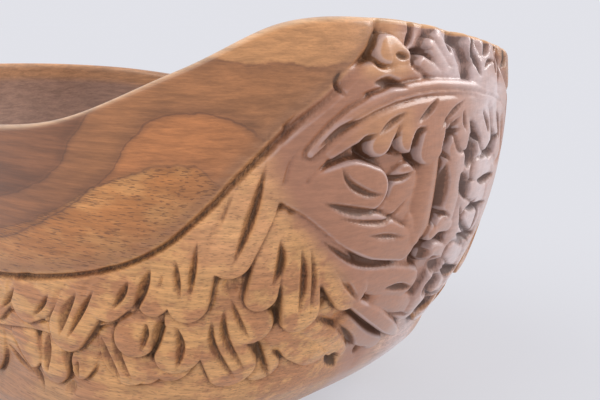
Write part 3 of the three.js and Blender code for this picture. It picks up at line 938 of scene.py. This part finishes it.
# A growth line that arches over it, and a second one nearer the rim.
ARCH_LINE = [(72, 180), (88, 196), (100, 203), (112, 204), (125, 201), (135, 192.5), (143, 182.5)]
ARCH_LINE += [(150, 175.5), (170, 163), (200, 150), (278, 135), (356, 150)]
RIM_LINE = [(100, 250), (125, 226), (150, 204), (160, 193.5), (172, 178.5), (190, 170.5)]
RIM_LINE += [(212, 164), (245, 159), (278, 158), (311, 159)]
# Above this line the wood is tan.
TAN_EDGE = [(-40, 216), (20, 222), (60, 220), (100, 221), (130, 226), (160, 240), (278, 250)]
# Half girth of the mask's pinkish wood at each run.
MASK_REACH = [(0, 6), (70, 12), (95, 24), (115, 34), (135, 48), (155, 66), (170, 78), (190, 86)]
MASK_REACH += [(235, 88)]


# Where each zone fades in or out, in millimetres below or over the panel's edge,
CARVED = (-3, 1)
LIP = (-1, 1)
LIP_STRONG = (9, 3)
LIP_WEAK = (24, 5)
# inside the mask's reach,
MASK_FADE = (-7, 9)
# in girth from the nearer end's tip and in run,
AFT = (125, 185)
SHOULDER_FROM = (66, 82)
SHOULDER_TO = (124, 98)
SHOULDER_UP = (132, 158)
LOW = (92, 55)
CREST = (206, 216)
# and in shares of the way over the rim, where its edge has a painted highlight.
RIM_HIGHLIGHT_FROM = (0.01, 0.12)
RIM_HIGHLIGHT_TO = (0.6, 0.3)
# The golden leaf on the crest and the forelock under it: fades in girth, then in run.
CREST_LEAF = ((17, 27), (50, 42), (212, 218))
FORELOCK = ((16, 24), (58, 40), (185, 192), (207, 200))


def distance_over(knots, start, run):
    """How far a place lies above a line, square to it."""
    line = through(knots, start)
    slope = through(knots, start + 1) - line
    return (run - line) / np.hypot(1, slope)


def paint_zones(mesh):
    around = np.tile(girth, len(rings))
    run = np.concatenate([r[1] for r in rings])
    inside = np.concatenate([r[2] for r in rings])
    signed = wrapped(around)
    from_head = np.abs(signed)
    start = np.minimum(from_head, HALF_GIRTH - from_head)
    shifted = run + np.where(from_head > start, tail_drop(start, run), 0)
    paint(mesh, "sapwood", distance_over(SAPWOOD_EDGE, start, shifted))
    paint(mesh, "arch", distance_over(ARCH_LINE, start, shifted))
    paint(mesh, "rimline", distance_over(RIM_LINE, start, shifted))
    paint(mesh, "tan", distance_over(TAN_EDGE, start, shifted))
    outer = inside < 0.02
    paint(mesh, "hollow", read(hollow_near, around, run) * outer)
    paint(mesh, "stain_and_shade", read(stain_and_shade, around, run) * outer)
    paint(mesh, "inside", inside)
    below_edge = panel_edge(signed) - run
    carved = ease(below_edge, *CARVED) * outer
    paint(mesh, "carved", carved)
    lip = 0.6 * ease(-below_edge, *LIP_STRONG) + 0.4 * ease(-below_edge, *LIP_WEAK)
    paint(mesh, "lip", ease(-below_edge, *LIP) * lip * outer)
    paint(mesh, "aft", ease(start, *AFT))
    shoulder = ease(start, *SHOULDER_FROM) * ease(start, *SHOULDER_TO) * ease(run, *SHOULDER_UP)
    paint(mesh, "shoulder", shoulder * outer)
    # A painted highlight along the rim's edge.
    paint(mesh, "edge", ease(inside, *RIM_HIGHLIGHT_FROM) * ease(inside, *RIM_HIGHLIGHT_TO))
    paint(mesh, "low", ease(run, *LOW) * outer)
    paint(mesh, "mask", ease(through(MASK_REACH, run) - from_head, *MASK_FADE) * carved)
    # The far half of the mask is painted hazier with a pale reflection. On the crest that starts nearer
    # the camera's side.
    crest = ease(run, *CREST)
    painted_haze = ease(signed - 20 * crest, 4, -40 + 12 * crest)
    painted_haze = painted_haze * (1 - 0.75 * ease(signed - 16 * crest, -44, -60))
    paint(mesh, "far_mask_reflection", painted_haze * ease(from_head, 120, 80) * carved)
    crest_leaf = math.prod(map(ease_over, (signed, signed, run), CREST_LEAF))
    forelock = math.prod(map(ease_over, (signed, signed, run, run), FORELOCK))
    paint(mesh, "golden_leaf", np.maximum(crest_leaf, 0.6 * forelock) * carved)
    top = np.tile(run_of(rim), len(rings))
    paint(mesh, "below_rim", top - run)


# ---- Wood ----


class Shader:
    """Short names for the nodes of one material."""

    def __init__(self, name):
        self.material = bpy.data.materials.new(name)
        self.material.use_nodes = True
        self.tree = self.material.node_tree
        self.tree.nodes.clear()

    def node(self, kind, inputs=None, **settings):
        made = self.tree.nodes.new(kind)
        for key, value in settings.items():
            setattr(made, key, value)
        for key, value in (inputs or {}).items():
            if isinstance(value, bpy.types.NodeSocket):
                self.tree.links.new(value, made.inputs[key])
            else:
                made.inputs[key].default_value = value
        return made

    def math(self, operation, a, b=0.0, clamp=False):
        made = self.node("ShaderNodeMath", {0: a, 1: b}, operation=operation, use_clamp=clamp)
        return made.outputs[0]

    def attribute(self, name):
        return self.node("ShaderNodeAttribute", attribute_name=name).outputs["Fac"]

    def times(self, a, b):
        return self.math("MULTIPLY", a, b)

    def noise(self, sizes, detail=3.0, roughness=0.5, distortion=0.0):
        """Noise with that many spots to a millimetre of the object along x, y and z."""
        place = self.stretched(self.node("ShaderNodeTexCoord").outputs["Object"], (1 / MM,) * 3)
        inputs = {"Vector": self.stretched(place, sizes), "Scale": 1.0, "Detail": detail}
        inputs.update({"Roughness": roughness, "Distortion": distortion})
        return self.node("ShaderNodeTexNoise", inputs).outputs["Fac"]

    def stretched(self, vector, sizes):
        inputs = {0: vector, 1: sizes}
        return self.node("ShaderNodeVectorMath", inputs, operation="MULTIPLY").outputs[0]

    def band(self, value, start, end, low=0.0, high=1.0):
        """0 to 1 as the value goes from start to end, smoothly."""
        inputs = {"Value": value, "From Min": start, "From Max": end, "To Min": low, "To Max": high}
        made = self.node("ShaderNodeMapRange", inputs, interpolation_type="SMOOTHSTEP")
        return made.outputs["Result"]

    def mix(self, share, a, b, blend="MIX"):
        """Colour a, with b over it by that share. Its colour sockets are numbers 6, 7 and out 2."""
        inputs = {0: share, 6: a, 7: b}
        made = self.node("ShaderNodeMix", inputs, data_type="RGBA", blend_type=blend)
        return made.outputs[2]


def srgb(red, green, blue):
    def linear(value):
        share = value / 255
        return share / 12.92 if share <= 0.04045 else ((share + 0.055) / 1.055) ** 2.4

    return (linear(red), linear(green), linear(blue), 1.0)


ORANGE_WOOD = srgb(192, 123, 72)
BROWN_WOOD = srgb(172, 114, 70)
MAUVE_WOOD = srgb(147, 95, 62)
MAUVE_DARK = srgb(128, 82, 54)
GOLD_WOOD = srgb(188, 121, 65)
GOLD_PALE = srgb(209, 146, 86)
TAN_WOOD = srgb(206, 147, 95)
LEAF_WOOD = srgb(194, 132, 85)
LEAF_GOLD = srgb(222, 163, 102)
LEAF_BRIGHT = srgb(232, 172, 118)
LIP_WOOD = srgb(156, 108, 74)
LOW_WOOD = srgb(172, 130, 100)
MASK_WOOD = srgb(175, 119, 88)
# Painted highlight and reflection colour on the mask.
MASK_HIGHLIGHT = srgb(212, 187, 182)
GROWTH_LINE = srgb(112, 72, 50)
# Stain and painted shade in cuts, hollows and under standing edges.
STAIN_AND_SHADE = srgb(116, 76, 50)
DEEP_STAIN_AND_SHADE = srgb(70, 46, 31)
PORE = srgb(96, 58, 34)
# Painted highlight along the rim's edge.
RIM_EDGE_HIGHLIGHT = srgb(226, 184, 142)
INSIDE_WOOD = srgb(162, 126, 106)
INSIDE_RIM = srgb(188, 138, 98)


def wood():
    s = Shader("carved_hardwood")
    slow = s.noise((0.012, 0.035, 0.035), 3.0)
    streak = s.noise((0.02, 0.11, 0.5), 5.0, 0.62, 0.3)
    fibre = s.noise((0.05, 0.4, 1.9), 3.0, 0.6)
    wobble = s.noise((0.03, 0.09, 0.09), 4.0, 0.6)
    wobble = s.times(s.math("SUBTRACT", wobble, 0.5), 7.0)

    def zone(name):
        return s.math("ADD", s.attribute(name), wobble)

    sapwood = zone("sapwood")
    arch = zone("arch")
    rimline = zone("rimline")
    tan = zone("tan")
    mask = s.attribute("mask")
    carved = s.attribute("carved")
    inside = s.attribute("inside")
    smooth = s.math("SUBTRACT", 1.0, carved)

    # The smooth panels, with their growth lines.
    brown = s.mix(s.times(s.attribute("aft"), 0.75), BROWN_WOOD, MAUVE_WOOD)
    colour = s.mix(s.band(arch, -0.6, 1.2), ORANGE_WOOD, brown)
    mauve = s.mix(s.band(slow, 0.42, 0.6), MAUVE_WOOD, MAUVE_DARK)
    colour = s.mix(s.band(rimline, -1.0, 2.0), colour, mauve)
    colour = s.mix(s.times(s.band(tan, -0.5, 1.5), 0.9), colour, TAN_WOOD)
    patch = s.noise((0.03, 0.08, 0.08), 4.0, 0.6)
    gold = s.mix(s.band(patch, 0.4, 0.62), GOLD_WOOD, GOLD_PALE)
    gold_share = s.times(s.band(sapwood, 1.2, -1.2), smooth)
    colour = s.mix(gold_share, colour, gold)
    # Each growth line: where it lies, how far its halo reaches, how strong it is.
    growth_lines = ((arch, 7, 0.75), (rimline, 6, 0.75), (tan, -4, 0.45), (sapwood, 5, 0.55))
    for level, dark_side, strength in growth_lines:
        line = s.band(s.math("ABSOLUTE", level), 0.9, 0.1)
        halo = s.times(s.band(level, dark_side, 0.0), s.band(level, -0.4 * dark_side, 0.0))
        line = s.math("MAXIMUM", line, s.times(halo, 0.55))
        colour = s.mix(s.times(line, strength), colour, GROWTH_LINE)
    lip_share = s.times(s.attribute("lip"), s.band(streak, 0.3, 0.6, 0.4, 0.9))
    colour = s.mix(lip_share, colour, LIP_WOOD)

    # The carving.
    leaf = s.mix(s.band(patch, 0.44, 0.56), LEAF_WOOD, LEAF_GOLD)
    leaf = s.mix(s.times(s.attribute("shoulder"), 0.6), leaf, LEAF_BRIGHT)
    colour = s.mix(carved, colour, leaf)
    colour = s.mix(s.times(s.attribute("low"), 0.6), colour, LOW_WOOD)
    colour = s.mix(mask, colour, MASK_WOOD)
    colour = s.mix(s.times(s.attribute("golden_leaf"), 0.75), colour, TAN_WOOD)
    # Painted reflection: a pale haze over the far half of the mask.
    reflection_share = s.times(s.attribute("far_mask_reflection"), s.band(patch, 0.3, 0.7, 0.6, 1.0))
    colour = s.mix(reflection_share, colour, MASK_HIGHLIGHT)

    # The rim's edge with a painted highlight, and the inside.
    colour = s.mix(s.times(s.attribute("edge"), 0.7), colour, RIM_EDGE_HIGHLIGHT)
    shade_inside = s.mix(s.band(s.attribute("below_rim"), 8, 15), INSIDE_RIM, INSIDE_WOOD)
    colour = s.mix(s.band(inside, 0.6, 0.95), colour, shade_inside)

    # Grain, half as strong on the mask.
    tint = s.band(streak, 0.28, 0.72, 0.78, 1.2)
    tint = s.times(tint, s.band(fibre, 0.25, 0.75, 0.9, 1.1))
    own_tint = s.times(tint, s.band(mask, 0, 1, 1.0, 0.5))
    tint = s.math("ADD", own_tint, s.band(mask, 0, 1, 0.0, 0.5))
    shade = s.node("ShaderNodeCombineColor", {0: tint, 1: tint, 2: tint}).outputs[0]
    colour = s.mix(1.0, colour, shade, "MULTIPLY")

    # Pores, which crowd beside the sapwood's edge and are missing on the mask.
    pale = s.math("SUBTRACT", 1.0, mask)
    ticks = s.noise((0.15, 0.6, 2.2), 1.5, 0.5)
    crowd = s.times(s.band(s.math("ABSOLUTE", sapwood), 7.0, 0.0), smooth)
    ticks = s.math("ADD", ticks, s.times(crowd, 0.06))
    ticks = s.times(s.band(ticks, 0.58, 0.66), pale)
    porous = s.math("MAXIMUM", gold_share, s.times(carved, 0.55))
    pore_share = s.times(ticks, s.band(porous, 0, 1, 0.1, 0.6))
    colour = s.mix(pore_share, colour, PORE)

    # Stain and painted shade in the cuts and hollows, and wood rubbed pale on the ridges with a painted
    # highlight.
    hollow = s.attribute("hollow")
    hatch = s.noise((0.9, 0.9, 0.35), 4.0, 0.65)
    dark = s.math("ADD", s.attribute("stain_and_shade"), s.band(hatch, 0.3, 0.7, -0.13, 0.13))
    dark = s.band(dark, 0.15, 0.85)
    deep = s.mix(s.band(dark, 0.8, 1.0), STAIN_AND_SHADE, DEEP_STAIN_AND_SHADE)
    colour = s.mix(s.times(dark, s.band(mask, 0, 1, 0.86, 0.7)), colour, deep)
    # Wear with a painted highlight: convex ridges are painted pale, less on the panel's lip.
    wear_and_highlight = s.band(s.attribute("lip"), 0, 0.6, 0.42, 0.1)
    worn_and_highlit = s.times(s.band(hollow, -0.12, -0.6), wear_and_highlight)
    colour = s.mix(worn_and_highlit, colour, s.mix(mask, GOLD_PALE, MASK_HIGHLIGHT))

    # The lacquer, thin where the stain and painted shade are.
    rough = s.band(streak, 0.2, 0.8, 0.36, 0.48)
    rough = s.math("ADD", rough, s.times(dark, 0.25))
    rough = s.math("ADD", rough, s.times(mask, -0.06))
    coat = s.times(s.band(dark, 0, 1, 1.0, 0.25), s.band(mask, 0, 1, 0.22, 0.5))

    tool = s.noise((0.5, 0.5, 0.12), 3.0, 0.55)
    height = s.times(fibre, 0.05)
    height = s.math("ADD", height, s.times(tool, s.band(carved, 0, 1, 0.04, 0.2)))
    height = s.math("SUBTRACT", height, s.times(pore_share, 0.25))
    bump = s.node("ShaderNodeBump", {"Strength": 0.6, "Distance": 0.001, "Height": height})

    surface = s.node(
        "ShaderNodeBsdfPrincipled",
        {
            "Base Color": colour,
            "Roughness": rough,
            "Normal": bump.outputs[0],
            "Coat Weight": coat,
            "Coat Roughness": 0.24,
            "Sheen Weight": s.times(s.attribute("far_mask_reflection"), 0.35),
            "Sheen Roughness": 0.45,
            "Sheen Tint": (0.92, 0.95, 1.0, 1.0),
            "Specular IOR Level": 0.5,
        },
    )
    s.node("ShaderNodeOutputMaterial", {"Surface": surface.outputs[0]})
    return s.material


# ---- Floor, light and camera ----

BACKDROP = (0.757, 0.762, 0.812)  # pale paper, in linear light, as bright as the open surroundings
PAPER_GLOW = 0.62  # share of its own light, as in a tent lit from all round, that softens shadows
KEY_FROM = Vector((0.45, 0.85, 0.55)).normalized()
KEY_POWER = 1.6
KEY_SPREAD = 35
KEY_COLOUR = (1.0, 0.985, 0.97)
FILL_FROM = Vector((-0.25, -0.75, 0.9)).normalized()
FILL_POWER = 0.9
FILL_SPREAD = 50
FILL_COLOUR = (1.0, 0.97, 0.93)
FLOOR_HALF = 400.0  # metres, so that no edge of it shows
FLOOR_GAP = 0.0005


def paper_colour():
    """The reflectance at which a lit floor looks just as bright as the surroundings behind it."""
    colour = []
    for channel in range(3):
        suns = KEY_POWER * KEY_FROM.z * KEY_COLOUR[channel]
        suns += FILL_POWER * FILL_FROM.z * FILL_COLOUR[channel]
        colour.append(BACKDROP[channel] / (BACKDROP[channel] + suns / math.pi))
    return (*colour, 1.0)


def add_floor():
    mesh = bpy.data.meshes.new("floor")
    turns = ((-1, -1), (1, -1), (1, 1), (-1, 1))
    corners = [(x * FLOOR_HALF, y * FLOOR_HALF, -FLOOR_GAP) for x, y in turns]
    mesh.from_pydata(corners, [], [(0, 1, 2, 3)])
    s = Shader("floor_paper")
    paper = s.node("ShaderNodeBsdfDiffuse", {"Color": paper_colour()}).outputs[0]
    glow = s.node("ShaderNodeEmission", {"Color": (*BACKDROP, 1.0)}).outputs[0]
    surface = s.node("ShaderNodeMixShader", {0: PAPER_GLOW, 1: paper, 2: glow})
    s.node("ShaderNodeOutputMaterial", {"Surface": surface.outputs[0]})
    mesh.materials.append(s.material)
    floor = bpy.data.objects.new("floor", mesh)
    bpy.context.scene.collection.objects.link(floor)


def add_sun(name, towards, power, spread, colour):
    data = bpy.data.lights.new(name, "SUN")
    data.energy = power
    data.angle = math.radians(spread)
    data.color = colour
    lamp = bpy.data.objects.new(name, data)
    lamp.rotation_euler = towards.to_track_quat("Z", "Y").to_euler()
    bpy.context.scene.collection.objects.link(lamp)


def light_scene():
    world = bpy.data.worlds.new("studio")
    bpy.context.scene.world = world
    world.use_nodes = True
    background = world.node_tree.nodes["Background"]
    background.inputs["Color"].default_value = (*BACKDROP, 1.0)
    background.inputs["Strength"].default_value = 1.0
    add_sun("window", KEY_FROM, KEY_POWER, KEY_SPREAD, KEY_COLOUR)
    add_sun("room", FILL_FROM, FILL_POWER, FILL_SPREAD, FILL_COLOUR)


def look_at(thing, target):
    away = Vector(target) - thing.location
    thing.rotation_euler = away.to_track_quat("-Z", "Y").to_euler()


CAMERA_TURN = math.radians(43.8)
CAMERA_RISE = math.radians(11.94)
CAMERA_AWAY = 0.432
CAMERA_AIM = Vector((0.0931, 0.0275, 0.0987))
LENS = 49.5
SENSOR = 36


def add_camera():
    data = bpy.data.cameras.new("camera")
    data.lens = LENS
    data.sensor_width = SENSOR
    data.clip_start = 0.01
    camera = bpy.data.objects.new("camera", data)
    level = math.cos(CAMERA_RISE)
    back = Vector((math.sin(CAMERA_TURN) * level, -math.cos(CAMERA_TURN) * level, math.sin(CAMERA_RISE)))
    camera.location = CAMERA_AIM + back * CAMERA_AWAY
    bpy.context.scene.collection.objects.link(camera)
    look_at(camera, CAMERA_AIM)
    bpy.context.scene.camera = camera


# ---- Assembly ----

add_camera()
skin = build_bowl()
paint_zones(skin)
skin.materials.append(wood())
bowl = bpy.data.objects.new("carved_bowl_skin", skin)
bpy.context.scene.collection.objects.link(bowl)
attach(bowl, "root")
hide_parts("carved_bowl")
add_floor()
light_scene()
bpy.context.scene.view_settings.view_transform = "Standard"
